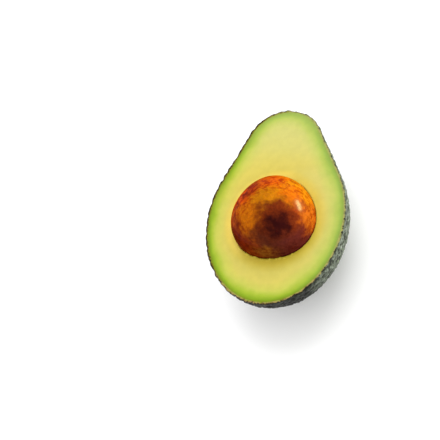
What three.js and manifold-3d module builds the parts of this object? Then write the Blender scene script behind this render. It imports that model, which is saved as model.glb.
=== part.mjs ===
// Halved avocado with its seed: a thin pebbled skin, the flesh inside it, and the seed in the flesh.
// The half lies on its round back with the cut face up. Millimetres, +Z up, +Y towards the stem end.
// The origin is the middle of the small flat spot on the back, under the fruit's widest place.

import * as THREE from "three";
import { ConvexHull } from "three/addons/math/ConvexHull.js";
import { mergeVertices } from "three/addons/utils/BufferGeometryUtils.js";
import Module from "manifold-3d";

// Outline of the fruit, turned about its long axis and measured from its widest place.
const STEM_REACH = 57.1;
const BLOSSOM_REACH = 42.9;
const HALF_WIDTH = 35;
const NECK_RADIUS = 20;
const SHOULDER_RADIUS = 48.4;

// Skin: a wall under the outline, covered all over with low pebbles that meet in grooves.
const SKIN_THICKNESS = 1;
const PEBBLE_PITCH = 3.6;
const PEBBLE_RISE = 0.35;
const GROOVE_DROP = 0.15;
const PEBBLE_SHIFT = 0.3;
const PEBBLE_SEED = 11;

// The back is flat where it rests, this far inside the outline.
const REST_FLAT_DEPTH = 0.5;

// Seed: an ovoid a little pointed towards the stem and flattened towards the blossom end.
const SEED_RADIUS = 20.4;
const SEED_POINT = 0.68;
const SEED_CENTRE = new THREE.Vector3(0.35, -0.6, 0);

// Clearance between one piece and the next.
const FIT_GAP = 0.3;

// Fineness of the round surfaces.
const OUTLINE_STEPS = 5;
const TURN_STEPS = 40;
const SEED_STEPS = 16;
const SKIN_BANDS = 600;

// Rule of the pebbles' spiral and of the random numbers that shift them.
const GOLDEN_ANGLE = Math.PI * (3 - Math.sqrt(5));
const RANDOM_FACTOR = 1664525;
const RANDOM_STEP = 1013904223;

const FACE_HEIGHT = HALF_WIDTH - REST_FLAT_DEPTH;

const wasm = await Module();
wasm.setup();

// A closed solid from a geometry, with its shared corners merged and its collapsed triangles dropped.
function solidFrom(geometry) {
  geometry.deleteAttribute("normal");
  geometry.deleteAttribute("uv");
  const merged = mergeVertices(geometry);
  const index = merged.index.array;
  const triangles = [];
  for (let i = 0; i < index.length; i += 3) {
    const [a, b, c] = index.slice(i, i + 3);
    if (a !== b && b !== c && c !== a) {
      triangles.push(a, b, c);
    }
  }
  const mesh = new wasm.Mesh({
    numProp: 3,
    vertProperties: merged.attributes.position.array,
    triVerts: new Uint32Array(triangles),
  });
  return new wasm.Manifold(mesh);
}

// A geometry with the faces of a finished solid.
function geometryFrom(solid) {
  const mesh = solid.getMesh();
  const geometry = new THREE.BufferGeometry();
  geometry.setAttribute("position", new THREE.BufferAttribute(mesh.vertProperties, 3));
  geometry.setIndex(new THREE.BufferAttribute(mesh.triVerts, 1));
  geometry.computeVertexNormals();
  return geometry;
}

// Half of the fruit's outline from the stem tip to the blossom tip, a given depth inside the skin:
// an arc round the neck, a straight flank, an arc over the shoulder and a quarter of an ellipse.
function fruitOutline(inset) {
  const neck = new THREE.Vector2(0, STEM_REACH - NECK_RADIUS);
  const shoulder = new THREE.Vector2(HALF_WIDTH - SHOULDER_RADIUS, 0);
  const apart = shoulder.clone().sub(neck);
  const spread = Math.acos((NECK_RADIUS - SHOULDER_RADIUS) / apart.length());
  const flank = Math.atan2(apart.y, apart.x) + spread;
  const outline = new THREE.Path();
  outline.absarc(neck.x, neck.y, NECK_RADIUS - inset, Math.PI / 2, flank, true);
  outline.absarc(shoulder.x, shoulder.y, SHOULDER_RADIUS - inset, flank, 0, true);
  outline.absellipse(0, 0, HALF_WIDTH - inset, BLOSSOM_REACH - inset, 0, -Math.PI / 2, true);
  return outline;
}

// A body turned from an outline that runs from the +Y end of the axis to the -Y end.
function turned(points) {
  points.at(0).x = 0;
  points.at(-1).x = 0;
  return solidFrom(new THREE.LatheGeometry(points.reverse(), TURN_STEPS));
}

// Everything between the cut face and the resting spot.
function slabUnderFace() {
  const reach = 2 * (STEM_REACH + BLOSSOM_REACH);
  const slab = new THREE.BoxGeometry(reach, reach, FACE_HEIGHT);
  slab.translate(0, 0, -FACE_HEIGHT / 2);
  return solidFrom(slab);
}

// Even random numbers from 0 to 1, the same on every run.
function seededRandom(seed) {
  let state = seed;
  return () => {
    state = (Math.imul(state, RANDOM_FACTOR) + RANDOM_STEP) >>> 0;
    return state / 2 ** 32;
  };
}

// Middles of the pebbles, evenly spread over the whole fruit on a golden-angle spiral and then each
// shifted a little. Each has its place on the outline's surface and the direction that is outwards.
function pebbleMiddles() {
  const outline = fruitOutline(0);
  const length = outline.getLength();
  const band = length / SKIN_BANDS;
  const areas = [];
  for (let i = 0; i < SKIN_BANDS; i += 1) {
    areas.push(2 * Math.PI * outline.getPoint((i + 0.5) / SKIN_BANDS).x * band);
  }
  const area = areas.reduce((sum, part) => sum + part, 0);
  const count = Math.round(area / (PEBBLE_PITCH ** 2 * Math.sqrt(3) / 2));
  const random = seededRandom(PEBBLE_SEED);
  const shift = () => (2 * random() - 1) * PEBBLE_SHIFT * PEBBLE_PITCH;
  const middles = [];
  let passed = 0;
  let i = 0;
  for (let k = 0; k < count; k += 1) {
    const share = area * (k + 0.5) / count;
    while (passed + areas[i] < share) {
      passed += areas[i];
      i += 1;
    }
    const along = (i + (share - passed) / areas[i]) * band + shift();
    const t = THREE.MathUtils.clamp(along / length, 0, 1);
    const point = outline.getPoint(t);
    const run = outline.getTangent(t);
    const turn = k * GOLDEN_ANGLE + shift() / Math.max(point.x, PEBBLE_PITCH);
    const place = new THREE.Vector3(point.x * Math.cos(turn), point.y, point.x * Math.sin(turn));
    const outwards = new THREE.Vector3(-run.y * Math.cos(turn), run.x, -run.y * Math.sin(turn));
    middles.push({ place, outwards });
  }
  return middles;
}

// The whole fruit's pebbled outside. Each pebble is a low peak, and the corners where three
// pebbles meet lie in the grooves.
function pebbledFruit() {
  const middles = pebbleMiddles();
  const directions = middles.map(({ place }) => place.clone().normalize());
  const pebbleAt = new Map(directions.map((direction, k) => [direction, k]));
  const hull = new ConvexHull().setFromPoints(directions);
  const positions = [];
  for (const { place, outwards } of middles) {
    positions.push(...place.clone().addScaledVector(outwards, PEBBLE_RISE));
  }
  const cornerAt = new Map();
  for (const face of hull.faces) {
    const place = new THREE.Vector3();
    const outwards = new THREE.Vector3();
    for (let side = 0; side < 3; side += 1) {
      const middle = middles[pebbleAt.get(face.getEdge(side).head().point)];
      place.addScaledVector(middle.place, 1 / 3);
      outwards.add(middle.outwards);
    }
    cornerAt.set(face, positions.length / 3);
    positions.push(...place.addScaledVector(outwards.normalize(), -GROOVE_DROP));
  }
  const triangles = [];
  for (const face of hull.faces) {
    for (let side = 0; side < 3; side += 1) {
      const edge = face.getEdge(side);
      triangles.push(pebbleAt.get(edge.tail().point), cornerAt.get(edge.twin.face), cornerAt.get(face));
    }
  }
  const geometry = new THREE.BufferGeometry();
  geometry.setAttribute("position", new THREE.Float32BufferAttribute(positions, 3));
  geometry.setIndex(triangles);
  return solidFrom(geometry);
}

// Skin: the pebbled outside under the cut face, less what lies inside its wall.
function skin() {
  const inside = turned(fruitOutline(SKIN_THICKNESS).getPoints(OUTLINE_STEPS));
  const shell = pebbledFruit().intersect(slabUnderFace()).subtract(inside);
  const material = new THREE.MeshStandardMaterial({ color: 0x4d564b, roughness: 0.55, metalness: 0 });
  const mesh = new THREE.Mesh(geometryFrom(shell), material);
  mesh.name = "skin";
  return mesh;
}

// The seed's own outline from its stem end round to its blossom end.
function seedOutline(clearance) {
  const points = [];
  for (let i = 0; i <= SEED_STEPS; i += 1) {
    const angle = Math.PI * i / SEED_STEPS;
    const radius = SEED_RADIUS + SEED_POINT * Math.cos(3 * angle) + clearance;
    points.push(new THREE.Vector2(radius * Math.sin(angle), radius * Math.cos(angle)));
  }
  return points;
}

// Flesh: fills the skin up to the cut face, with a hollow that the seed sits in.
function flesh() {
  const body = turned(fruitOutline(SKIN_THICKNESS + FIT_GAP).getPoints(OUTLINE_STEPS));
  const hollow = turned(seedOutline(FIT_GAP)).translate(SEED_CENTRE.toArray());
  const half = body.intersect(slabUnderFace()).subtract(hollow);
  const material = new THREE.MeshStandardMaterial({ color: 0xe2d76f, roughness: 0.45, metalness: 0 });
  const mesh = new THREE.Mesh(geometryFrom(half), material);
  mesh.name = "flesh";
  return mesh;
}

// Seed: one ovoid, its lower half in the flesh and its upper half above the cut face.
function seed() {
  const body = turned(seedOutline(0));
  const material = new THREE.MeshStandardMaterial({ color: 0xa8500e, roughness: 0.35, metalness: 0 });
  const mesh = new THREE.Mesh(geometryFrom(body), material);
  mesh.name = "seed";
  mesh.position.copy(SEED_CENTRE);
  return mesh;
}

const half = new THREE.Group();
half.position.z = FACE_HEIGHT;
half.add(skin(), flesh(), seed());

const avocado = new THREE.Group();
avocado.add(half);

export default avocado;
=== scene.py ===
import math

import bmesh
import bpy
import numpy as np
from mathutils import Color, Matrix, Vector, noise


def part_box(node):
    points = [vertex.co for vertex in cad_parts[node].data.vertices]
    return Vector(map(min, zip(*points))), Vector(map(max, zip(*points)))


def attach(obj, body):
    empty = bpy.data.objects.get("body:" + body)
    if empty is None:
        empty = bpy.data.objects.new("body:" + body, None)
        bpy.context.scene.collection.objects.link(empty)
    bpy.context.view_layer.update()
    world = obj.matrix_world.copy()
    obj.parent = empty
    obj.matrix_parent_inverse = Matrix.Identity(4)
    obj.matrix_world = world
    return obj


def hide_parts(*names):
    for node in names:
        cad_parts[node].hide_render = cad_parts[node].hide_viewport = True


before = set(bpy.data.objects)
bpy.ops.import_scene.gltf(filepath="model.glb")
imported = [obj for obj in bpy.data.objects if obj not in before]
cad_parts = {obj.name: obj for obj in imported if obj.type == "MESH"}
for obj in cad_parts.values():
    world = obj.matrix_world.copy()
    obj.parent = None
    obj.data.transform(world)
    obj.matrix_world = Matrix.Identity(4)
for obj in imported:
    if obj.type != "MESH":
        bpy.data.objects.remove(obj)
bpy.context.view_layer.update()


# Skin: half of the fruit's peel, a tough shell a millimetre thick, grey-green and pebbled outside.
# It grew round the flesh and was cut through with it, so its bare edge lies in the cut face.
STEM_REACH = 0.0571
BLOSSOM_REACH = 0.0429
HALF_WIDTH = 0.035
NECK_RADIUS = 0.020
SHOULDER_RADIUS = 0.0484
OUTLINE_STEPS = 4000
LEAST_SLOPE = 0.01
LEAST_REACH = 1e-9
FACE_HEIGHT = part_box("skin")[1].z
REST_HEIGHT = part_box("skin")[0].z

SKIN_THICKNESS = 0.001
SKIN_COLUMNS = 680
SKIN_ROWS = 124
SKIN_INNER_ROWS = 9
SKIN_EDGE_DEPTHS = (0.1, 0.35, 0.7, 1.0)
SHARP_ANGLE = 55.0

face_middle = np.array((0.0, 0.0, FACE_HEIGHT))
neck_middle = np.array((0.0, STEM_REACH - NECK_RADIUS))
shoulder_middle = np.array((HALF_WIDTH - SHOULDER_RADIUS, 0.0))
middles_apart = shoulder_middle - neck_middle
flank_spread = math.acos((NECK_RADIUS - SHOULDER_RADIUS) / np.hypot(*middles_apart))
flank_angle = math.atan2(middles_apart[1], middles_apart[0]) + flank_spread
flank_normal = np.array((math.cos(flank_angle), math.sin(flank_angle)))


def fruit_surface(directions, inset):
    """Where rays from the middle of the widest place meet the fruit, a depth inside its outline.

    Gives the points and the outward directions there, both in the fruit's own frame, with the
    long axis on Y. The outline is a neck arc, a straight flank, a shoulder arc and an ellipse.
    """
    out = np.hypot(directions[:, 0], directions[:, 2])
    up = directions[:, 1]
    neck_radius = NECK_RADIUS - inset
    shoulder_radius = SHOULDER_RADIUS - inset
    width = HALF_WIDTH - inset
    length = BLOSSOM_REACH - inset
    neck_end = neck_middle + neck_radius * flank_normal
    flank_end = shoulder_middle + shoulder_radius * flank_normal
    turn = np.arctan2(out, up)
    in_neck = turn < math.atan2(*neck_end)
    in_flank = turn < math.atan2(*flank_end)
    in_shoulder = up > 0
    neck_side = np.maximum(neck_radius ** 2 - (neck_middle[1] * out) ** 2, 0)
    neck_reach = neck_middle[1] * up + np.sqrt(neck_side)
    flank_slope = np.maximum(flank_normal[0] * out + flank_normal[1] * up, LEAST_SLOPE)
    flank_reach = (neck_end @ flank_normal) / flank_slope
    shoulder_side = shoulder_radius ** 2 - (shoulder_middle[0] * up) ** 2
    shoulder_reach = shoulder_middle[0] * out + np.sqrt(shoulder_side)
    blossom_reach = 1 / np.hypot(out / width, up / length)
    reach = np.select(
        (in_neck, in_flank, in_shoulder),
        (neck_reach, flank_reach, shoulder_reach),
        blossom_reach,
    )
    flat = np.stack((out, up), axis=1) * reach[:, None]
    normal = np.select(
        (in_neck[:, None], in_flank[:, None], in_shoulder[:, None]),
        (flat - neck_middle, np.broadcast_to(flank_normal, flat.shape), flat - shoulder_middle),
        flat / (width ** 2, length ** 2),
    )
    normal = normal / np.linalg.norm(normal, axis=1, keepdims=True)
    around = directions[:, (0, 2)] / np.maximum(out, LEAST_REACH)[:, None]
    sideways = around * normal[:, :1]
    outwards = np.stack((sideways[:, 0], normal[:, 1], sideways[:, 1]), axis=1)
    return directions * reach[:, None], outwards


def ring_directions(columns, dip):
    """Unit directions all round the upright axis, pointing down by the angle dip."""
    turn = np.arange(columns) * 2 * math.pi / columns
    flat = math.cos(dip)
    down = np.full(columns, -math.sin(dip))
    return np.stack((flat * np.cos(turn), flat * np.sin(turn), down), axis=1)


def ring_mesh(name, first_pole, rings, last_pole):
    """A closed mesh over rings of points, all with the same columns, capped by a point at each end."""
    columns = len(rings[0])
    points = np.concatenate((*rings, [first_pole, last_pole]))
    first, last = len(points) - 2, len(points) - 1
    here = np.arange(columns)
    beside = (here + 1) % columns
    faces = [(first, int(b), int(a)) for a, b in zip(here, beside)]
    for row in range(len(rings) - 1):
        low = row * columns
        high = low + columns
        quads = np.stack((low + here, low + beside, high + beside, high + here), axis=1)
        faces.extend(map(tuple, quads.tolist()))
    top = (len(rings) - 1) * columns
    faces.extend((last, int(top + a), int(top + b)) for a, b in zip(here, beside))
    mesh = bpy.data.meshes.new(name)
    mesh.from_pydata(points.tolist(), [], faces)
    mesh.shade_smooth()
    return mesh


def set_attribute(mesh, name, values):
    """Stores one number or one vector for each point of a mesh."""
    values = np.asarray(values, np.float32)
    kind, key = ("FLOAT", "value") if values.ndim == 1 else ("FLOAT_VECTOR", "vector")
    mesh.attributes.new(name, kind, "POINT").data.foreach_set(key, values.ravel())


def smooth_skin():
    """The shell without its pebbles: up the outside, over the cut edge and down the inside.

    Its points carry the outward direction, how far they are on the outside, and how deep in the cut.
    """
    dips = np.linspace(math.pi / 2, 0, SKIN_ROWS + 1)[1:]
    inner_dips = np.linspace(0, math.pi / 2, SKIN_INNER_ROWS + 1)[1:-1]
    layout = [(dip, 0.0) for dip in dips]
    layout += [(0.0, depth) for depth in SKIN_EDGE_DEPTHS]
    layout += [(dip, 1.0) for dip in inner_dips]
    rings, outwards, depths = [], [], []
    for dip, depth in layout:
        points, normals = fruit_surface(ring_directions(SKIN_COLUMNS, dip), depth * SKIN_THICKNESS)
        rings.append(points + face_middle)
        outwards.append(normals)
        depths.append(np.full(SKIN_COLUMNS, depth))
    under = face_middle - (0, 0, HALF_WIDTH)
    inside = under + (0, 0, SKIN_THICKNESS)
    mesh = ring_mesh("skin", under, rings, inside)
    depths = np.concatenate((*depths, [0, 1]))
    set_attribute(mesh, "outwards", np.concatenate((*outwards, [(0, 0, -1), (0, 0, -1)])))
    set_attribute(mesh, "outer", 1 - depths)
    set_attribute(mesh, "cut", depths)
    return mesh


# The skin's pebbles: low domes that meet in grooves, with finer wrinkles over them. They lie on a
# spiral with a seeded shift.
PEBBLE_PITCH = 0.0036
PEBBLE_AREA = PEBBLE_PITCH ** 2 * math.sqrt(3) / 2
PEBBLE_RISE = 0.00038
GROOVE_DROP = 0.0003
PEBBLE_SHIFT = 0.3
PEBBLE_WIDTH = 0.62 * PEBBLE_PITCH
PEBBLE_ROUNDNESS = 2.2
PEBBLE_WANDER = 0.0018
WANDER_GRAIN = 260.0
STRENGTH_GRAIN = 70.0
PEBBLE_STRENGTHS = (0.6, 1.1)
RELIEF_DETAIL = 2.0
WRINKLE_RISE = 0.0002
WRINKLE_GRAIN = 620.0
WRINKLE_BLEND = 0.4
WRINKLE_SPAN = (0.1, 0.7)
GRAIN_SPAN = (0.3, 0.7)
GRAIN_MIDDLE = (0.5, 0.5, 0.5)
PEBBLE_SEED = 11
SKIN_BANDS = 600
GOLDEN_ANGLE = math.pi * (3 - math.sqrt(5))
RANDOM_FACTOR = 1664525
RANDOM_STEP = 1013904223
RANDOM_RANGE = 2 ** 32


def fruit_outline():
    """Fine points on the outline from the stem tip to the blossom tip, and their path lengths."""
    turns = np.linspace(0, math.pi, OUTLINE_STEPS + 1)
    directions = np.stack((np.sin(turns), np.cos(turns), np.zeros_like(turns)), axis=1)
    points = fruit_surface(directions, 0.0)[0]
    steps = np.linalg.norm(np.diff(points, axis=0), axis=1)
    return points, np.concatenate(([0], np.cumsum(steps)))


def pebble_middles():
    """Middles of the pebbles on a golden-angle spiral over the whole fruit, each shifted a little."""
    points, path = fruit_outline()
    band = path[-1] / SKIN_BANDS
    band_ends = np.arange(SKIN_BANDS + 1) * band
    stations = (np.arange(SKIN_BANDS) + 0.5) * band
    covered = np.cumsum(2 * math.pi * np.interp(stations, path, points[:, 0]) * band)
    covered = np.concatenate(([0], covered))
    count = round(covered[-1] / PEBBLE_AREA)
    state = PEBBLE_SEED
    middles = []
    for k in range(count):
        shifts = []
        for _ in range(2):
            state = (state * RANDOM_FACTOR + RANDOM_STEP) % RANDOM_RANGE
            shifts.append((2 * state / RANDOM_RANGE - 1) * PEBBLE_SHIFT * PEBBLE_PITCH)
        share = covered[-1] * (k + 0.5) / count
        along = np.interp(share, covered, band_ends)
        along = min(max(along + shifts[0], 0), path[-1])
        out = np.interp(along, path, points[:, 0])
        up = np.interp(along, path, points[:, 1])
        turn = k * GOLDEN_ANGLE + shifts[1] / max(out, PEBBLE_PITCH)
        middles.append((out * math.cos(turn), up, out * math.sin(turn) + FACE_HEIGHT))
    return middles


def add_node(tree, kind, inputs=None, **settings):
    """Adds a node, sets its options, then links or sets its named or numbered inputs."""
    node = tree.nodes.new(kind)
    for name, value in settings.items():
        setattr(node, name, value)
    for name, value in (inputs or {}).items():
        if isinstance(value, bpy.types.NodeSocket):
            tree.links.new(value, node.inputs[name])
        else:
            node.inputs[name].default_value = value
    return node


def math_node(tree, operation, *values, clamp=False):
    """The result of one arithmetic step on sockets or numbers."""
    inputs = dict(enumerate(values))
    return add_node(tree, "ShaderNodeMath", inputs, operation=operation, use_clamp=clamp).outputs[0]


def vector_node(tree, operation, *values):
    """The vector result of one step on vectors."""
    inputs = dict(enumerate(values))
    return add_node(tree, "ShaderNodeVectorMath", inputs, operation=operation).outputs[0]


def scaled(tree, vector, factor):
    """A vector or a colour times a number."""
    inputs = {0: vector, "Scale": factor}
    return add_node(tree, "ShaderNodeVectorMath", inputs, operation="SCALE").outputs[0]


def ranged(tree, value, span, target=(0.0, 1.0)):
    """A value moved smoothly from one range to another, and held at its ends."""
    inputs = dict(enumerate((value, *span, *target)))
    return add_node(tree, "ShaderNodeMapRange", inputs, interpolation_type="SMOOTHSTEP").outputs[0]


def stored_value(tree, name, kind="FLOAT"):
    """A value that a mesh's points carry, read in a geometry tree."""
    inputs = {"Name": name}
    return add_node(tree, "GeometryNodeInputNamedAttribute", inputs, data_type=kind).outputs[0]


def seeded_noise(tree, where, seed, scale):
    """Random grain in a geometry tree, drawn by a seed, as a noise node's outputs."""
    inputs = {"Vector": where, "W": seed, "Scale": scale, "Detail": RELIEF_DETAIL}
    return add_node(tree, "ShaderNodeTexNoise", inputs, noise_dimensions="4D").outputs


def pebble_tree():
    """Raises a pebble round each middle on the shell's outside, and flattens the spot it rests on."""
    tree = bpy.data.node_groups.new("pebbled skin", "GeometryNodeTree")
    sockets = (
        ("Shell", "NodeSocketGeometry"),
        ("Pebble Middles", "NodeSocketObject"),
        ("Pebble Width", "NodeSocketFloat"),
        ("Pebble Rise", "NodeSocketFloat"),
        ("Groove Drop", "NodeSocketFloat"),
        ("Wander", "NodeSocketFloat"),
        ("Wrinkle Rise", "NodeSocketFloat"),
        ("Rest Height", "NodeSocketFloat"),
        ("Seed", "NodeSocketFloat"),
        ("Finish", "NodeSocketMaterial"),
    )
    for name, kind in sockets:
        tree.interface.new_socket(name, in_out="INPUT", socket_type=kind)
    tree.interface.new_socket("Skin", in_out="OUTPUT", socket_type="NodeSocketGeometry")
    given = add_node(tree, "NodeGroupInput").outputs
    place = add_node(tree, "GeometryNodeInputPosition").outputs[0]

    drift = seeded_noise(tree, place, given["Seed"], WANDER_GRAIN)["Color"]
    drift = scaled(tree, vector_node(tree, "SUBTRACT", drift, GRAIN_MIDDLE), given["Wander"])
    wandered = vector_node(tree, "ADD", place, drift)
    middles = add_node(tree, "GeometryNodeObjectInfo", {"Object": given["Pebble Middles"]})
    nearest = add_node(
        tree,
        "GeometryNodeProximity",
        {0: middles.outputs["Geometry"], "Sample Position": wandered},
        target_element="POINTS",
    )
    off_middle = math_node(tree, "DIVIDE", nearest.outputs["Distance"], given["Pebble Width"])
    off_middle = math_node(tree, "POWER", off_middle, PEBBLE_ROUNDNESS)
    dome = math_node(tree, "SUBTRACT", 1.0, off_middle, clamp=True)

    strength = seeded_noise(tree, place, given["Seed"], STRENGTH_GRAIN)["Fac"]
    strength = ranged(tree, strength, GRAIN_SPAN, PEBBLE_STRENGTHS)
    height = math_node(tree, "ADD", given["Pebble Rise"], given["Groove Drop"])
    height = math_node(tree, "MULTIPLY", math_node(tree, "MULTIPLY", height, dome), strength)
    height = math_node(tree, "SUBTRACT", height, given["Groove Drop"])
    wrinkles = add_node(
        tree,
        "ShaderNodeTexVoronoi",
        {"Vector": wandered, "Scale": WRINKLE_GRAIN, "Smoothness": WRINKLE_BLEND},
        feature="SMOOTH_F1",
    ).outputs["Distance"]
    wrinkles = ranged(tree, wrinkles, WRINKLE_SPAN, (1.0, 0.0))
    height = math_node(tree, "MULTIPLY_ADD", wrinkles, given["Wrinkle Rise"], height)
    height = math_node(tree, "MULTIPLY", height, stored_value(tree, "outer"))
    lift = scaled(tree, stored_value(tree, "outwards", "FLOAT_VECTOR"), height)

    shell = given["Shell"]
    for name, value in (("pebble", dome), ("wrinkle", wrinkles)):
        shell = add_node(
            tree,
            "GeometryNodeStoreNamedAttribute",
            {"Geometry": shell, "Name": name, "Value": value},
            data_type="FLOAT",
            domain="POINT",
        ).outputs[0]
    shell = add_node(tree, "GeometryNodeSetPosition", {"Geometry": shell, "Offset": lift}).outputs[0]
    raised = add_node(tree, "GeometryNodeInputPosition").outputs[0]
    axes = add_node(tree, "ShaderNodeSeparateXYZ", {0: raised}).outputs
    rested = math_node(tree, "MAXIMUM", axes["Z"], given["Rest Height"])
    flat = add_node(tree, "ShaderNodeCombineXYZ", {"X": axes["X"], "Y": axes["Y"], "Z": rested}).outputs[0]
    shell = add_node(tree, "GeometryNodeSetPosition", {"Geometry": shell, "Position": flat}).outputs[0]
    shell = add_node(tree, "GeometryNodeRealizeInstances", {0: shell}).outputs[0]
    finish = {"Geometry": shell, "Material": given["Finish"]}
    shell = add_node(tree, "GeometryNodeSetMaterial", finish).outputs[0]
    add_node(tree, "NodeGroupOutput", {0: shell})
    return tree


# The skin's finish: dusty wax with painted light on one side and painted shade on the other,
# painted shade in the grooves, and a tan or dried edge at the cut that is painted lighter on the lit side.
# Colours have 0 to 255 a channel, and a ramp's rows are the place of a colour and the colour.
PEEL_GRAIN = 1100.0
PEEL_PORES = 3000.0
PORE_SHARE = 0.3
# Pebble tops are painted lighter and the grooves between them darker: painted highlight and painted shade.
PEBBLE_TOP_LIGHT = 0.44
WRINKLE_TOP_LIGHT = 0.3
GRAIN_WEAR = (-0.27, 0.29)
PEEL_ROUGHNESS = (0.36, 0.6)
PEEL_SHINE = 0.1
PEEL_BUMP = 0.5
PEEL_BUMP_HEIGHT = 0.0003
# The lighter side is partly dusty bloom and partly painted light; the dark peel is painted shade.
DUST_AND_LIGHT_SIDE = (1.0, 0.3, 0.0)
DUST_AND_LIGHT_SPAN = (-0.002, 0.034)
DUST_PATCHES = 90.0
DUST_DRIFT = (-0.25, 0.25)
DUSTY_LIT_PEEL = (
    (0.1, (24, 27, 20)),
    (0.4, (66, 72, 59)),
    (0.7, (102, 110, 97)),
    (1.0, (130, 139, 125)),
)
SHADED_DARK_PEEL = (
    (0.1, (7, 6, 4)),
    (0.4, (14, 14, 10)),
    (0.7, (27, 29, 22)),
    (1.0, (54, 58, 48)),
)

EDGE_SPAN = (0.1, 0.3)
EDGE_TEAR = (-0.4, 0.4)
EDGE_TEAR_SPAN = (0.0, 0.3)
TAN_SIDE = (0.75, -0.66, 0.0)
TAN_SPAN = (-0.006, 0.004)
# The bare edge is also tan towards the lit side: painted light.
LIT_SIDE_TAN_SPAN = (0.0, 0.02)
EDGE_SPECKS = 380.0
EDGE_SPECK_SPAN = (0.46, 0.62)
EDGE_SPECK_TAN = (1.0, 0.1)
DRIED_EDGE = (
    (0.0, (26, 21, 10)),
    (0.4, (60, 44, 16)),
    (0.7, (100, 82, 24)),
    (1.0, (120, 134, 18)),
)
TAN_EDGE = (
    (0.0, (62, 54, 32)),
    (0.25, (138, 114, 72)),
    (0.7, (150, 134, 74)),
    (1.0, (134, 152, 54)),
)
# The bare edge is painted paler on the lit side: painted light.
LIT_EDGE_SPAN = (0.004, 0.03)
LIT_EDGE_SHARES = (0.0, 0.55)
LIT_EDGE = (150, 158, 92)


def colour(red, green, blue):
    """A screen colour from 0 to 255 a channel as the linear colour that a shader takes."""
    screen = Color((red / 255, green / 255, blue / 255))
    return (*screen.from_srgb_to_scene_linear(), 1.0)


def new_material(name):
    """An empty node material, with its tree and its shader."""
    material = bpy.data.materials.new(name)
    material.use_nodes = True
    tree = material.node_tree
    return material, tree, tree.nodes["Principled BSDF"]


def mesh_value(tree, name):
    """A value that a mesh's points carry, read in a material."""
    return add_node(tree, "ShaderNodeAttribute", attribute_name=name).outputs["Fac"]


def dot_product(tree, first, second):
    """How far one vector reaches along another."""
    inputs = {0: first, 1: second}
    return add_node(tree, "ShaderNodeVectorMath", inputs, operation="DOT_PRODUCT").outputs["Value"]


def new_group(name, inputs, outputs):
    """An empty node group for materials, with named vector and number sockets."""
    group = bpy.data.node_groups.new(name, "ShaderNodeTree")
    for socket in inputs:
        kind = "NodeSocketVector" if socket in ("Where", "Side") else "NodeSocketFloat"
        group.interface.new_socket(socket, in_out="INPUT", socket_type=kind)
    for socket in outputs:
        group.interface.new_socket(socket, in_out="OUTPUT", socket_type="NodeSocketFloat")
    return group, add_node(group, "NodeGroupInput").outputs


def grain_group():
    """Random grain that peel, flesh and seed coat share, as it comes and moved into a range."""
    inputs = ("Where", "Scale", "Detail", "Roughness", "Start", "End", "Low", "High")
    group, given = new_group("grain", inputs, ("Grain", "Level"))
    settings = {name: given[name] for name in ("Scale", "Detail", "Roughness")}
    speckle = add_node(group, "ShaderNodeTexNoise", {"Vector": given["Where"], **settings}).outputs["Fac"]
    level = ranged(group, speckle, (given["Start"], given["End"]), (given["Low"], given["High"]))
    add_node(group, "NodeGroupOutput", {"Grain": speckle, "Level": level})
    return group


def side_group():
    """How far a place lies to one side, moved into a range, for what differs from side to side."""
    group, given = new_group("one side", ("Where", "Side", "Start", "End", "Low", "High"), ("Share",))
    reach = dot_product(group, given["Where"], given["Side"])
    share = ranged(group, reach, (given["Start"], given["End"]), (given["Low"], given["High"]))
    add_node(group, "NodeGroupOutput", {"Share": share})
    return group


grain_recipe = grain_group()
side_recipe = side_group()


def grain(tree, where, scale, detail=3.0, roughness=0.5):
    """The shared grain, from 0 to 1, with this many grains to the metre."""
    inputs = {"Where": where, "Scale": scale, "Detail": detail, "Roughness": roughness}
    return add_node(tree, "ShaderNodeGroup", inputs, node_tree=grain_recipe).outputs["Grain"]


def range_inputs(span, target):
    """The inputs by which a shared group moves a value from one range to another."""
    return dict(zip(("Start", "End", "Low", "High"), (*span, *target)))


def levels(tree, where, scale, span, target, detail=3.0):
    """The shared grain moved smoothly from one range to another."""
    inputs = {"Where": where, "Scale": scale, "Detail": detail, "Roughness": 0.5}
    inputs.update(range_inputs(span, target))
    return add_node(tree, "ShaderNodeGroup", inputs, node_tree=grain_recipe).outputs["Level"]


def one_side(tree, where, side, span, target=(0.0, 1.0)):
    """The shared one-sided share, moved from the target's start to its end over a span to that side."""
    inputs = {"Where": where, "Side": side, **range_inputs(span, target)}
    return add_node(tree, "ShaderNodeGroup", inputs, node_tree=side_recipe).outputs["Share"]


def mixed(tree, share, first, second):
    """Two colours mixed, with this share of the second."""
    inputs = {0: share, 6: first, 7: second}
    return add_node(tree, "ShaderNodeMix", inputs, data_type="RGBA").outputs[2]


def ramp(tree, value, stops):
    """A colour read off rows of a place and a colour."""
    node = add_node(tree, "ShaderNodeValToRGB", {0: value})
    elements = node.color_ramp.elements
    while len(elements) < len(stops):
        elements.new(0.5)
    for element, (place, shade) in zip(elements, stops):
        element.position = place
        element.color = colour(*shade)
    return node.outputs[0]


def add_bump(tree, shader, height, strength, distance):
    """Roughens what a shader shows by a height that changes over the surface."""
    bump = add_node(tree, "ShaderNodeBump", {"Height": height, "Strength": strength, "Distance": distance})
    tree.links.new(bump.outputs[0], shader.inputs["Normal"])


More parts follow.
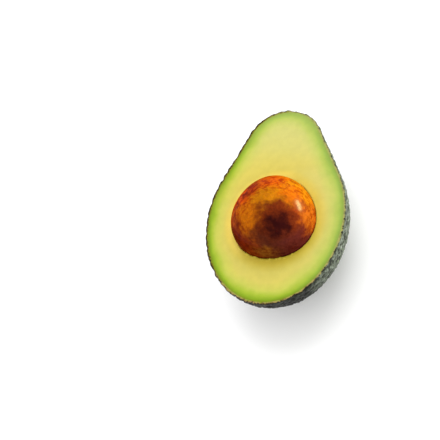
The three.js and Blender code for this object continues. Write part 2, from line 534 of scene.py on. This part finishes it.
def skin_finish():
    """Waxy peel: painted shade in the grooves and on one side, dusty grey-green with painted light on the
    pebble tops and the other side, tan where the knife bared it.
    """
    material, tree, shader = new_material("pebbled peel")
    where = add_node(tree, "ShaderNodeTexCoord").outputs["Object"]
    fine = grain(tree, where, PEEL_GRAIN, detail=4.0, roughness=0.6)
    pores = grain(tree, where, PEEL_PORES, detail=2.0)

    # Painted shade in the grooves and painted highlight on the pebble tops, over random grain.
    relief_shade_and_grain = math_node(tree, "MULTIPLY", mesh_value(tree, "wrinkle"), WRINKLE_TOP_LIGHT)
    relief_shade_and_grain = math_node(tree, "MULTIPLY_ADD", mesh_value(tree, "pebble"), PEBBLE_TOP_LIGHT, relief_shade_and_grain)
    relief_shade_and_grain = math_node(tree, "ADD", relief_shade_and_grain, ranged(tree, fine, GRAIN_SPAN, GRAIN_WEAR))
    patches = levels(tree, where, DUST_PATCHES, GRAIN_SPAN, DUST_DRIFT)
    # Painted light on one side and painted shade on the other, mixed with dusty patches.
    dust_and_light = one_side(tree, where, DUST_AND_LIGHT_SIDE, DUST_AND_LIGHT_SPAN)
    dust_and_light = math_node(tree, "ADD", dust_and_light, patches, clamp=True)
    outside = mixed(tree, dust_and_light, ramp(tree, relief_shade_and_grain, SHADED_DARK_PEEL), ramp(tree, relief_shade_and_grain, DUSTY_LIT_PEEL))

    cut = mesh_value(tree, "cut")
    tear = ranged(tree, fine, GRAIN_SPAN, EDGE_TEAR)
    tear = math_node(tree, "MULTIPLY", tear, ranged(tree, cut, EDGE_TEAR_SPAN))
    cut = math_node(tree, "ADD", cut, tear)
    tan = one_side(tree, where, TAN_SIDE, TAN_SPAN)
    # Tan also towards the lit side: painted light.
    tan = math_node(tree, "MAXIMUM", tan, one_side(tree, where, DUST_AND_LIGHT_SIDE, LIT_SIDE_TAN_SPAN))
    specks = levels(tree, where, EDGE_SPECKS, EDGE_SPECK_SPAN, EDGE_SPECK_TAN)
    tan = math_node(tree, "MULTIPLY", tan, specks)
    bare = mixed(tree, tan, ramp(tree, cut, DRIED_EDGE), ramp(tree, cut, TAN_EDGE))
    # Painted light: the bare edge paler on the lit side.
    lit_edge_share = one_side(tree, where, DUST_AND_LIGHT_SIDE, LIT_EDGE_SPAN, LIT_EDGE_SHARES)
    bare = mixed(tree, lit_edge_share, bare, colour(*LIT_EDGE))

    shade = mixed(tree, ranged(tree, cut, EDGE_SPAN), outside, bare)
    tree.links.new(shade, shader.inputs["Base Color"])
    tree.links.new(ranged(tree, fine, GRAIN_SPAN, PEEL_ROUGHNESS), shader.inputs["Roughness"])
    shader.inputs["Specular IOR Level"].default_value = PEEL_SHINE
    relief = math_node(tree, "MULTIPLY_ADD", pores, PORE_SHARE, fine)
    add_bump(tree, shader, relief, PEEL_BUMP, PEEL_BUMP_HEIGHT)
    return material


def add_piece(name, mesh):
    """An object at the origin that shows a mesh."""
    piece = bpy.data.objects.new(name, mesh)
    bpy.context.scene.collection.objects.link(piece)
    return piece


pebbles = bpy.data.meshes.new("pebble_middles")
pebbles.from_pydata(pebble_middles(), [], [])
pebble_points = add_piece("pebble_middles", pebbles)

skin = add_piece("avocado_skin", smooth_skin())
pebbling = skin.modifiers.new("pebbles", "NODES")
pebbling.node_group = pebble_tree()
pebbling_inputs = {
    "Pebble Middles": pebble_points,
    "Pebble Width": PEBBLE_WIDTH,
    "Pebble Rise": PEBBLE_RISE,
    "Groove Drop": GROOVE_DROP,
    "Wander": PEBBLE_WANDER,
    "Wrinkle Rise": WRINKLE_RISE,
    "Rest Height": REST_HEIGHT,
    "Seed": float(PEBBLE_SEED),
    "Finish": skin_finish(),
}
for socket in pebbling.node_group.interface.items_tree:
    if socket.name in pebbling_inputs:
        pebbling[socket.identifier] = pebbling_inputs[socket.name]
bpy.context.view_layer.update()
depsgraph = bpy.context.evaluated_depsgraph_get()
skin.data = bpy.data.meshes.new_from_object(skin.evaluated_get(depsgraph), depsgraph=depsgraph)
skin.modifiers.clear()
bpy.data.objects.remove(pebble_points)
skin.data.set_sharp_from_angle(angle=math.radians(SHARP_ANGLE))
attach(skin, "root")
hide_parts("skin")


# Flesh: the soft, oily meat that fills the skin, pale yellow and turning green next to the peel.
# It is flat where the knife passed, with a round hollow that the seed has left its shape in.
FLESH_COLUMNS = 480
FLESH_WALL_ROWS = 16
FLESH_FACE_RINGS = 64
HOLLOW_ROWS = 24
SKIN_SEAM = 0.00002
SEED_SEAM = 0.00005
FACE_WAVE = 0.00008
FACE_WAVE_LENGTH = 0.012
FACE_WAVE_GROWTH = 6
LIP_RADIUS = 0.0006
LIP_STEPS = 5
LIP_CRUMB = 0.0016
LIP_CRUMB_LENGTH = 0.0013
LIP_CRUMB_GAPS = 0.12
LIP_CRUMB_REACH = 0.0008
TORN_SIDE = (-0.5, -0.87, 0.0)
LEAST_TORN = 0.1

SEED_RADIUS = 0.0204
SEED_POINT = 0.00068
seed_low, seed_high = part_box("seed")
seed_middle = np.array((
    (seed_low.x + seed_high.x) / 2,
    seed_high.y - SEED_RADIUS - SEED_POINT,
    (seed_low.z + seed_high.z) / 2,
))


def seed_surface(directions, clearance):
    """Points on the seed in these directions from its middle: pointed to the stem, flatter below."""
    from_stem = np.arccos(np.clip(directions[:, 1], -1, 1))
    reach = SEED_RADIUS + SEED_POINT * np.cos(3 * from_stem) + clearance
    return seed_middle + directions * reach[:, None]


def waves(points, length):
    """Smooth random heights from -1 to 1 at each point, with waves of about this length."""
    return np.array([noise.noise(Vector(point) / length) for point in points])


def lip_crumbs(ring, from_lip):
    """How far small crumbs of flesh stand up along the hollow's edge, at each point of a ring."""
    fade = np.clip(1 - from_lip / LIP_CRUMB_REACH, 0, 1)
    torn = np.clip((ring - seed_middle) @ TORN_SIDE / SEED_RADIUS, LEAST_TORN, 1)
    bumps = np.maximum(waves(ring, LIP_CRUMB_LENGTH) - LIP_CRUMB_GAPS, 0)
    return LIP_CRUMB * fade * torn * bumps


def skin_distance(points, rim):
    """How far points of the flesh lie from the skin: from the rim on the face, or through it below."""
    level = points[:, 2] > FACE_HEIGHT - 2 * LIP_RADIUS
    distance = np.zeros(len(points))
    flat = points[level][:, :2]
    nearest = np.full(len(flat), np.inf)
    for corner in rim[:, :2]:
        nearest = np.minimum(nearest, np.hypot(*(flat - corner).T))
    distance[level] = nearest
    below = points[~level] - face_middle
    depth = np.linalg.norm(below, axis=1)
    surface = fruit_surface(below / depth[:, None], SKIN_THICKNESS)[0]
    distance[~level] = np.maximum(np.linalg.norm(surface, axis=1) - depth, 0)
    return distance


def flesh_mesh():
    """Up the outside, over the cut face, round the lip and down into the seed's hollow.

    Its points carry how far they are from the skin and from the seed.
    """
    inset = SKIN_THICKNESS + SKIN_SEAM
    level = ring_directions(FLESH_COLUMNS, 0)
    rings = []
    for dip in np.linspace(math.pi / 2, 0, FLESH_WALL_ROWS + 1)[1:]:
        rings.append(fruit_surface(ring_directions(FLESH_COLUMNS, dip), inset)[0] + face_middle)
    rim = rings[-1]
    lip = seed_surface(level, SEED_SEAM + LIP_RADIUS)
    for share in np.linspace(0, 1, FLESH_FACE_RINGS + 1)[1:]:
        ring = rim + (lip - rim) * share
        fade = min(1, FACE_WAVE_GROWTH * share, FACE_WAVE_GROWTH * (1 - share))
        ring[:, 2] += FACE_WAVE * fade * waves(ring, FACE_WAVE_LENGTH)
        ring[:, 2] += lip_crumbs(ring, np.linalg.norm(lip - ring, axis=1))
        rings.append(ring)
    for turn in np.linspace(0, math.pi / 2, LIP_STEPS + 1)[1:]:
        ring = seed_surface(level, SEED_SEAM + LIP_RADIUS * (1 - math.sin(turn)))
        ring[:, 2] += lip_crumbs(ring, 0.0) - LIP_RADIUS * (1 - math.cos(turn))
        rings.append(ring)
    lip_dip = LIP_RADIUS / SEED_RADIUS
    for dip in np.linspace(lip_dip, math.pi / 2, HOLLOW_ROWS + 1)[1:-1]:
        rings.append(seed_surface(ring_directions(FLESH_COLUMNS, dip), SEED_SEAM))
    under = face_middle - (0, 0, HALF_WIDTH - inset)
    bottom = seed_surface(np.array(((0.0, 0.0, -1.0),)), SEED_SEAM)[0]
    mesh = ring_mesh("flesh", under, rings, bottom)
    points = np.concatenate((*rings, [under, bottom]))
    set_attribute(mesh, "from_skin", skin_distance(points, rim))
    from_seed = np.linalg.norm(points - seed_middle, axis=1) - SEED_RADIUS
    set_attribute(mesh, "from_seed", np.maximum(from_seed, 0))
    return mesh


# The flesh's finish: distances from the skin and from the seed are in millimetres, and the green
# border is as wide as BORDER_WIDTHS says, first along the fruit and then at its stem end.
MILLIMETRES = 1000.0
FLESH_CLOUDS = 60.0
FLESH_FIBRES = 420.0
FLESH_MOTTLING = 260.0
FLESH_PORES = 1600.0
CLOUD_DRIFT = (-0.8, 0.8)
FIBRE_DRIFT = (-0.25, 0.25)
DRIFT_SPAN = (0.0, 4.0)
MOTTLED_LIGHT = (0.8, 0.85)
FLESH_ROUGHNESS = (0.4, 0.55)
FLESH_SHINE = 0.2
FLESH_GLOW = 0.15
FLESH_GLOW_RADIUS = (1.0, 0.8, 0.25)
FLESH_GLOW_DEPTH = 0.002
FLESH_BUMP = 0.09
FLESH_BUMP_HEIGHT = 0.0004
STEM_SIDE = (0.0, 1.0, 0.0)
STEM_SPAN = (0.026, 0.052)
STEM_DEPTHS = (0.15, 0.75)
STEM_SHARES = (0.12, 1.0)
STEM_FLESH = (205, 200, 116)
BORDER_WIDTHS = (10.0, 13.6)
DEEP_BORDER = (
    (0.0, (120, 138, 10)),
    (0.1, (132, 164, 16)),
    (0.25, (164, 186, 46)),
    (0.5, (198, 200, 84)),
    (0.9, (214, 200, 94)),
)
# The border is paler towards one side: painted sheen.
PALE_SHEEN_SIDE = (0.9, 0.43, 0.0)
PALE_SHEEN_SPAN = (-0.012, 0.03)
PALE_SHEEN_BORDER = (
    (0.0, (140, 162, 66)),
    (0.1, (146, 175, 70)),
    (0.25, (172, 191, 83)),
    (0.5, (193, 198, 98)),
    (0.9, (208, 199, 107)),
)
# Tints round the seed, with a painted shadow and a painted highlight, each over the one before: its
# colour, where it starts to fade away from the seed and where it ends, its share at the seed, the side of
# the fruit that it lies on, where on the way to that side it starts and is full, and the part of it
# that is left on the other side.
SEED_TINTS_AND_PAINTED_LIGHT = (
    ((214, 195, 82), (6.0, 18.0), 0.5, (-0.3, 0.95, 0.0), (0.013, 0.024), 0.0),
    ((218, 195, 74), (0.0, 7.0), 0.8, (0.0, 1.0, 0.0), (0.0, 0.01), 1.0),
    # Painted shadow of the seed on the flesh below and right of it, darker and more saturated.
    ((198, 174, 8), (0.5, 7.5), 0.5, (0.2, -0.98, 0.0), (-0.002, 0.02), 0.1),
    # Painted highlight: the flesh brighter by the seed's upper left edge.
    ((238, 212, 96), (2.5, 6.0), 0.8, (-0.87, 0.5, 0.0), (0.0, 0.01), 0.0),
)


def flesh_finish():
    """Moist cut flesh: a green border by the skin, paler on one side by a painted sheen, pale yellow
    beyond it, warmer round the seed, with a painted shadow below it and a painted highlight at its upper
    left.
    """
    material, tree, shader = new_material("cut flesh")
    where = add_node(tree, "ShaderNodeTexCoord").outputs["Object"]
    from_skin = math_node(tree, "MULTIPLY", mesh_value(tree, "from_skin"), MILLIMETRES)
    from_seed = math_node(tree, "MULTIPLY", mesh_value(tree, "from_seed"), MILLIMETRES)
    fibres = grain(tree, where, FLESH_FIBRES)
    pores = grain(tree, where, FLESH_PORES, detail=2.0)

    clouds = levels(tree, where, FLESH_CLOUDS, GRAIN_SPAN, CLOUD_DRIFT, detail=2.0)
    drift = math_node(tree, "ADD", clouds, ranged(tree, fibres, GRAIN_SPAN, FIBRE_DRIFT))
    drift = math_node(tree, "MULTIPLY", drift, ranged(tree, from_skin, DRIFT_SPAN))
    border = one_side(tree, where, STEM_SIDE, STEM_SPAN, BORDER_WIDTHS)
    depth = math_node(tree, "ADD", from_skin, drift)
    depth = math_node(tree, "DIVIDE", depth, border, clamp=True)
    # Painted sheen: the border paler towards one side.
    pale_sheen = one_side(tree, where, PALE_SHEEN_SIDE, PALE_SHEEN_SPAN)
    shade = mixed(tree, pale_sheen, ramp(tree, depth, DEEP_BORDER), ramp(tree, depth, PALE_SHEEN_BORDER))
    stem_end = one_side(tree, where, STEM_SIDE, STEM_SPAN)
    stem_end = math_node(tree, "MULTIPLY", stem_end, ranged(tree, depth, STEM_DEPTHS, STEM_SHARES))
    shade = mixed(tree, stem_end, shade, colour(*STEM_FLESH))
    # Tints round the seed, with its painted shadow and painted highlight.
    for tint, fade, share, side, span, rest in SEED_TINTS_AND_PAINTED_LIGHT:
        near_seed = ranged(tree, from_seed, fade, (share, 0.0))
        on_side = one_side(tree, where, side, span, (rest, 1.0))
        shade = mixed(tree, math_node(tree, "MULTIPLY", near_seed, on_side), shade, colour(*tint))
    mottling = levels(tree, where, FLESH_MOTTLING, GRAIN_SPAN, MOTTLED_LIGHT, detail=4.0)

    tree.links.new(scaled(tree, shade, mottling), shader.inputs["Base Color"])
    tree.links.new(ranged(tree, fibres, GRAIN_SPAN, FLESH_ROUGHNESS), shader.inputs["Roughness"])
    shader.inputs["Specular IOR Level"].default_value = FLESH_SHINE
    shader.inputs["Subsurface Weight"].default_value = FLESH_GLOW
    shader.inputs["Subsurface Radius"].default_value = FLESH_GLOW_RADIUS
    shader.inputs["Subsurface Scale"].default_value = FLESH_GLOW_DEPTH
    relief = math_node(tree, "MULTIPLY_ADD", pores, PORE_SHARE, fibres)
    add_bump(tree, shader, relief, FLESH_BUMP, FLESH_BUMP_HEIGHT)
    return material


flesh = add_piece("avocado_flesh", flesh_mesh())
flesh.data.set_sharp_from_angle(angle=math.radians(SHARP_ANGLE))
flesh.data.materials.append(flesh_finish())
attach(flesh, "root")
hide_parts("flesh")


# Seed: one hard ovoid in a thin satin coat, mottled from amber and orange to a dark brown patch.
# Its lower half sits in the flesh's hollow and nothing else holds it.
SEED_FINENESS = 6
SEED_LUMP = 0.00012
SEED_LUMP_LENGTH = 0.009

COAT_DRIFT = 0.7
COAT_DRIFT_GRAIN = 190.0
COAT_DRIFT_DRAW = (0.279, 0.153, 0.207)
COAT_ROUGHNESS = (0.2, 0.28)
COAT_GLOSS = 0.05
COAT_GLOSS_ROUGHNESS = 0.19
COAT_BUMP = 0.3
COAT_BUMP_HEIGHT = 0.0004
PATCH_SIDE = (0.42, -0.38, 0.82)
STREAK_GRAIN = 2.4
STREAKS_ROUND = 2.6
STREAKS_DOWN = 4.5
STREAK_DRAW = (6.5, 3.5, 4.5)
STREAK_SPAN = (0.45, 0.6)
STREAK_TILTS = (0.5, 1.0)
STREAK_SHARES = (0.14, 0.85)
STREAK_DARKNESS = (0.5, 0.19, 0.18)
PATCH_CORE_SIDE = (0.43, -0.47, 0.77)
PATCH_CORE_SPAN = (0.915, 1.0)
PATCH_CORE = (42, 7, 6)
RED_RIM_SIDE = (-0.72, 0.40, 0.57)
RED_RIM_SPAN = (0.76, 0.96)
COAT_CLOTS = 300.0
COAT_CLOT_SPAN = (0.44, 0.62)
COAT_CLOT = (104, 18, 3)
COAT_FLECKS = 800.0
COAT_FLECK_SPAN = (0.35, 0.65)
COAT_FLECK_LIGHT = (0.76, 0.99)
COAT = (172, 92, 4)
# Each row is the side that a colour faces, how nearly it is faced where the colour starts and
# where it is full, and the colour. Later rows lie over earlier ones.
COAT_SIDES = (
    ((0.62, 0.60, 0.50), (0.30, 0.95), (184, 113, 8)),
    ((0.10, 0.28, 0.95), (0.82, 0.99), (178, 106, 6)),
    ((0.10, 0.70, 0.71), (0.88, 0.99), (194, 82, 4)),
    ((0.66, 0.30, 0.69), (0.93, 0.99), (182, 92, 6)),
    ((-0.60, 0.36, 0.71), (0.78, 0.98), (158, 48, 3)),
    ((-0.80, -0.12, 0.59), (0.66, 0.93), (204, 78, 3)),
    ((-0.36, -0.38, 0.85), (0.80, 0.99), (182, 96, 5)),
    ((0.18, -0.94, 0.29), (0.56, 0.95), (120, 48, 12)),
    ((-0.68, -0.62, 0.40), (0.82, 1.00), (108, 22, 4)),
    ((0.50, -0.70, 0.51), (0.68, 0.93), (82, 32, 15)),
    # Painted light from the flesh below: the seed's lowest edge lighter.
    ((0.06, -0.98, 0.20), (0.91, 1.00), (128, 72, 19)),
    ((0.84, -0.28, 0.46), (0.80, 0.97), (130, 48, 9)),
    ((0.69, -0.45, 0.57), (0.92, 0.99), (96, 35, 11)),
    ((0.98, -0.10, 0.18), (0.90, 0.99), (160, 80, 13)),
    ((0.62, -0.78, 0.08), (0.78, 0.97), (78, 27, 20)),
    ((0.38, -0.33, 0.86), (0.83, 0.97), (98, 34, 7)),
)


def seed_mesh():
    """A fine ball drawn out to the seed's own shape, with a few faint dents."""
    ball = bmesh.new()
    bmesh.ops.create_icosphere(ball, subdivisions=SEED_FINENESS, radius=1)
    mesh = bpy.data.meshes.new("seed")
    ball.to_mesh(mesh)
    ball.free()
    directions = np.zeros(len(mesh.vertices) * 3)
    mesh.vertices.foreach_get("co", directions)
    directions = directions.reshape(-1, 3)
    directions /= np.linalg.norm(directions, axis=1, keepdims=True)
    smooth = seed_surface(directions, 0)
    dents = -SEED_LUMP * np.maximum(waves(smooth, SEED_LUMP_LENGTH), 0)
    mesh.vertices.foreach_set("co", (smooth + directions * dents[:, None]).ravel())
    mesh.update()
    mesh.shade_smooth()
    return mesh


def facing(tree, direction, side, span):
    """How nearly a direction points to one side of the seed, as a soft spot from 0 to 1."""
    return one_side(tree, direction, Vector(side).normalized(), span)


def seed_finish():
    """Seed coat: amber with red and orange sides, a purple-brown patch, streaks round that patch, and
    painted light on its lowest edge.
    """
    material, tree, shader = new_material("seed coat")
    where = add_node(tree, "ShaderNodeTexCoord").outputs["Object"]
    from_middle = vector_node(tree, "SUBTRACT", where, tuple(seed_middle))
    direction = vector_node(tree, "NORMALIZE", from_middle)
    drawn = vector_node(tree, "ADD", from_middle, COAT_DRIFT_DRAW)
    drift = add_node(
        tree,
        "ShaderNodeTexNoise",
        {"Vector": drawn, "Scale": COAT_DRIFT_GRAIN, "Detail": 5.0, "Roughness": 0.6},
    ).outputs["Color"]
    drift = scaled(tree, vector_node(tree, "SUBTRACT", drift, GRAIN_MIDDLE), COAT_DRIFT)
    loose = vector_node(tree, "NORMALIZE", vector_node(tree, "ADD", direction, drift))

    patch = Vector(PATCH_SIDE).normalized()
    along = vector_node(tree, "PROJECT", direction, patch)
    around = vector_node(tree, "NORMALIZE", vector_node(tree, "SUBTRACT", direction, along))
    tilt = math_node(tree, "ARCCOSINE", dot_product(tree, direction, patch))
    down = scaled(tree, patch, math_node(tree, "MULTIPLY", tilt, STREAKS_DOWN))
    rings = vector_node(tree, "ADD", scaled(tree, around, STREAKS_ROUND), down)
    rings = vector_node(tree, "ADD", rings, STREAK_DRAW)
    streaks = grain(tree, rings, STREAK_GRAIN, detail=6.0, roughness=0.7)

    shade = colour(*COAT)
    # One of the coloured sides is painted light on the seed's lowest edge.
    for side, span, tint in COAT_SIDES:
        shade = mixed(tree, facing(tree, loose, side, span), shade, colour(*tint))
    off_patch = ranged(tree, tilt, STREAK_TILTS, STREAK_SHARES)
    blotches = math_node(tree, "MULTIPLY", ranged(tree, streaks, STREAK_SPAN), off_patch)
    shade = mixed(tree, blotches, shade, vector_node(tree, "MULTIPLY", shade, STREAK_DARKNESS))
    core = facing(tree, loose, PATCH_CORE_SIDE, PATCH_CORE_SPAN)
    shade = mixed(tree, core, shade, colour(*PATCH_CORE))
    clots = grain(tree, where, COAT_CLOTS, detail=4.0, roughness=0.6)
    red_rim = facing(tree, direction, RED_RIM_SIDE, RED_RIM_SPAN)
    clots = math_node(tree, "MULTIPLY", ranged(tree, clots, COAT_CLOT_SPAN), red_rim)
    shade = mixed(tree, clots, shade, colour(*COAT_CLOT))
    flecks = grain(tree, where, COAT_FLECKS, detail=4.0, roughness=0.6)
    shade = scaled(tree, shade, ranged(tree, flecks, COAT_FLECK_SPAN, COAT_FLECK_LIGHT))

    tree.links.new(shade, shader.inputs["Base Color"])
    tree.links.new(ranged(tree, streaks, GRAIN_SPAN, COAT_ROUGHNESS), shader.inputs["Roughness"])
    shader.inputs["Specular IOR Level"].default_value = 0.0
    shader.inputs["Coat Weight"].default_value = COAT_GLOSS
    shader.inputs["Coat Roughness"].default_value = COAT_GLOSS_ROUGHNESS
    add_bump(tree, shader, streaks, COAT_BUMP, COAT_BUMP_HEIGHT)
    return material


seed = add_piece("avocado_seed", seed_mesh())
seed.data.materials.append(seed_finish())
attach(seed, "root")
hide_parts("seed")


# Studio: a plain white floor under the fruit, lit by a pale surround and a broad soft light, with
# a low light on the right for the skin and a small one that puts the spark on the seed.
FLOOR_SIDE = 6.0
FLOOR_COLOUR = (0.94, 0.94, 0.94, 1.0)
FLOOR_ROUGHNESS = 0.9
SURROUND_COLOUR = (1.0, 1.0, 1.0, 1.0)
SURROUND_STRENGTH = 1.1
LIGHT_COLOUR = (1.0, 1.0, 1.0)
SOFT_LIGHT_POWER = 11.4
SOFT_LIGHT_SIZE = (1.2, 1.2)
SOFT_LIGHT_PLACE = (0.06, 0.78, 1.2)
SIDE_LIGHT_POWER = 8.5
SIDE_LIGHT_SIZE = (0.35, 0.05)
SIDE_LIGHT_PLACE = (0.75, 0.05, 0.03)
SPARK_POWER = 50.0
SPARK_COLOUR = (0.88, 1.0, 0.44)
SPARK_SIZE = (0.32, 0.14)
SPARK_PLACE = (0.73, 0.52, 0.035)

edge = FLOOR_SIDE / 2
floor_corners = [(-edge, -edge, 0), (edge, -edge, 0), (edge, edge, 0), (-edge, edge, 0)]
floor_mesh = bpy.data.meshes.new("floor")
floor_mesh.from_pydata(floor_corners, [], [(0, 1, 2, 3)])
floor_material, _, floor_shader = new_material("white floor")
floor_shader.inputs["Base Color"].default_value = FLOOR_COLOUR
floor_shader.inputs["Roughness"].default_value = FLOOR_ROUGHNESS
floor_mesh.materials.append(floor_material)
add_piece("floor", floor_mesh)


def add_light(name, place, power, size, tint, mirrored):
    """A rectangular lamp aimed at the cut face, which gives plain light or only a reflection."""
    lamp = bpy.data.lights.new(name, "AREA")
    lamp.energy = power
    lamp.color = tint
    lamp.shape = "RECTANGLE"
    lamp.size, lamp.size_y = size
    light = bpy.data.objects.new(name, lamp)
    light.location = place
    light.rotation_mode = "QUATERNION"
    light.rotation_quaternion = (Vector(face_middle) - Vector(place)).to_track_quat("-Z", "Y")
    light.visible_glossy = mirrored
    light.visible_diffuse = not mirrored
    bpy.context.scene.collection.objects.link(light)


add_light("soft_light", SOFT_LIGHT_PLACE, SOFT_LIGHT_POWER, SOFT_LIGHT_SIZE, LIGHT_COLOUR, mirrored=False)
add_light("side_light", SIDE_LIGHT_PLACE, SIDE_LIGHT_POWER, SIDE_LIGHT_SIZE, LIGHT_COLOUR, mirrored=False)
add_light("spark_light", SPARK_PLACE, SPARK_POWER, SPARK_SIZE, SPARK_COLOUR, mirrored=True)

world = bpy.data.worlds.new("surround")
world.use_nodes = True
background = world.node_tree.nodes["Background"]
background.inputs["Color"].default_value = SURROUND_COLOUR
background.inputs["Strength"].default_value = SURROUND_STRENGTH
bpy.context.scene.world = world
bpy.context.scene.view_settings.view_transform = "Standard"


# Camera: a long lens that looks down on the cut face from the blossom end's right. It is rolled
# about its own axis, so that the stem end is up in the picture.
VIEW_AZIMUTH = 47.64
VIEW_ELEVATION = 55.80
VIEW_ROLL = 45.12
VIEW_DISTANCE = 0.5619
VIEW_AIM = (-0.0282, 0.0004, FACE_HEIGHT)
LENS = 95.73
SENSOR = 36.0

azimuth, elevation = math.radians(VIEW_AZIMUTH), math.radians(VIEW_ELEVATION)
back = Vector((
    math.sin(azimuth) * math.cos(elevation),
    -math.cos(azimuth) * math.cos(elevation),
    math.sin(elevation),
))
camera_data = bpy.data.cameras.new("camera")
camera_data.lens = LENS
camera_data.sensor_width = SENSOR
camera = bpy.data.objects.new("camera", camera_data)
upright = (-back).to_track_quat("-Z", "Y").to_matrix()
roll = Matrix.Rotation(-math.radians(VIEW_ROLL), 3, "Z")
camera_place = Matrix.Translation(Vector(VIEW_AIM) + VIEW_DISTANCE * back)
camera.matrix_world = camera_place @ (upright @ roll).to_4x4()
bpy.context.scene.collection.objects.link(camera)
bpy.context.scene.camera = camera
